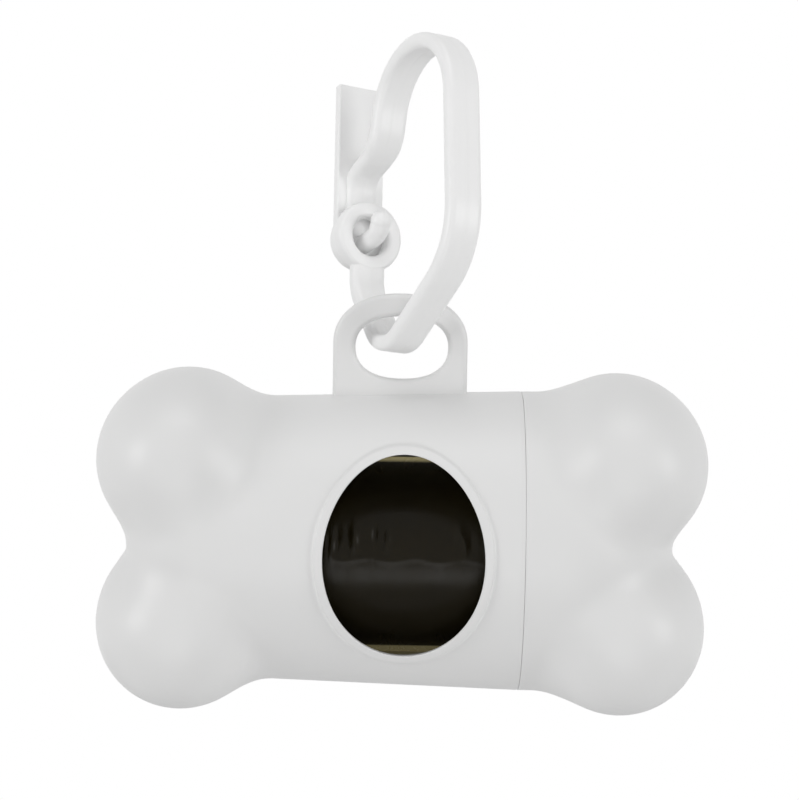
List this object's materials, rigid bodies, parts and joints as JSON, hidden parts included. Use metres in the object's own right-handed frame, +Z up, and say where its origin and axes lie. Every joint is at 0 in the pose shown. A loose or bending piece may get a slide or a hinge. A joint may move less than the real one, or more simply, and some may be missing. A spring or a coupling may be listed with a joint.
{
  "type": "pet waste bag dispenser",
  "caption": "Bone-shaped hanging case that holds a roll of pet waste bags, with an oval dispensing window, a screw cap and a ring-and-peg leash clip.",
  "frame": {"origin": "centre of the leash arch at the top of the clip", "axes": "+X along the bone towards the screw cap, +Y away from the dispensing window, +Z up through the hanging lug"},
  "size_m": [0.0834, 0.0435, 0.0926],
  "materials": {
    "white_shell": "satin white moulded plastic",
    "white_clip": "satin white flexible plastic",
    "core_board": "plain grey-brown board tube",
    "dark_bags": "tightly wound thin dark film",
    "film": "thin glossy dark olive film"
  },
  "bodies": {
    "clip": {"clip_loop": "white_clip"},
    "arm": {"clip_arm": "white_clip"},
    "case": {"housing": "white_shell"},
    "cap": {"end_cap": "white_shell"},
    "roll": {"roll_core": "core_board", "bag_roll": "dark_bags", "loose_bag": "film"}
  },
  "joints": [
    {"name": "clip_swing", "type": "hinge", "parent": "clip", "child": "case", "pos_m": [-0.00181, -0.0027, -0.02614], "axis": [1, 0, 0], "range_deg": [-60, 40]},
    {"name": "arm_flex", "type": "hinge", "parent": "clip", "child": "arm", "pos_m": [-0.00588, 0.00908, -0.0053], "axis": [0.866, 0.4806, -0.1378], "range_deg": [0, 42], "stiffness_Nm_per_rad": 0.02, "springref_deg": -8.59},
    {"name": "cap_pull", "type": "slide", "parent": "case", "child": "cap", "axis": [1, 0, 0], "range_m": [0, 0.03]},
    {"name": "roll_spin", "type": "hinge", "parent": "case", "child": "roll", "pos_m": [-0.00181, -0.0027, -0.06054], "axis": [1, 0, 0], "continuous": true}
  ]
}
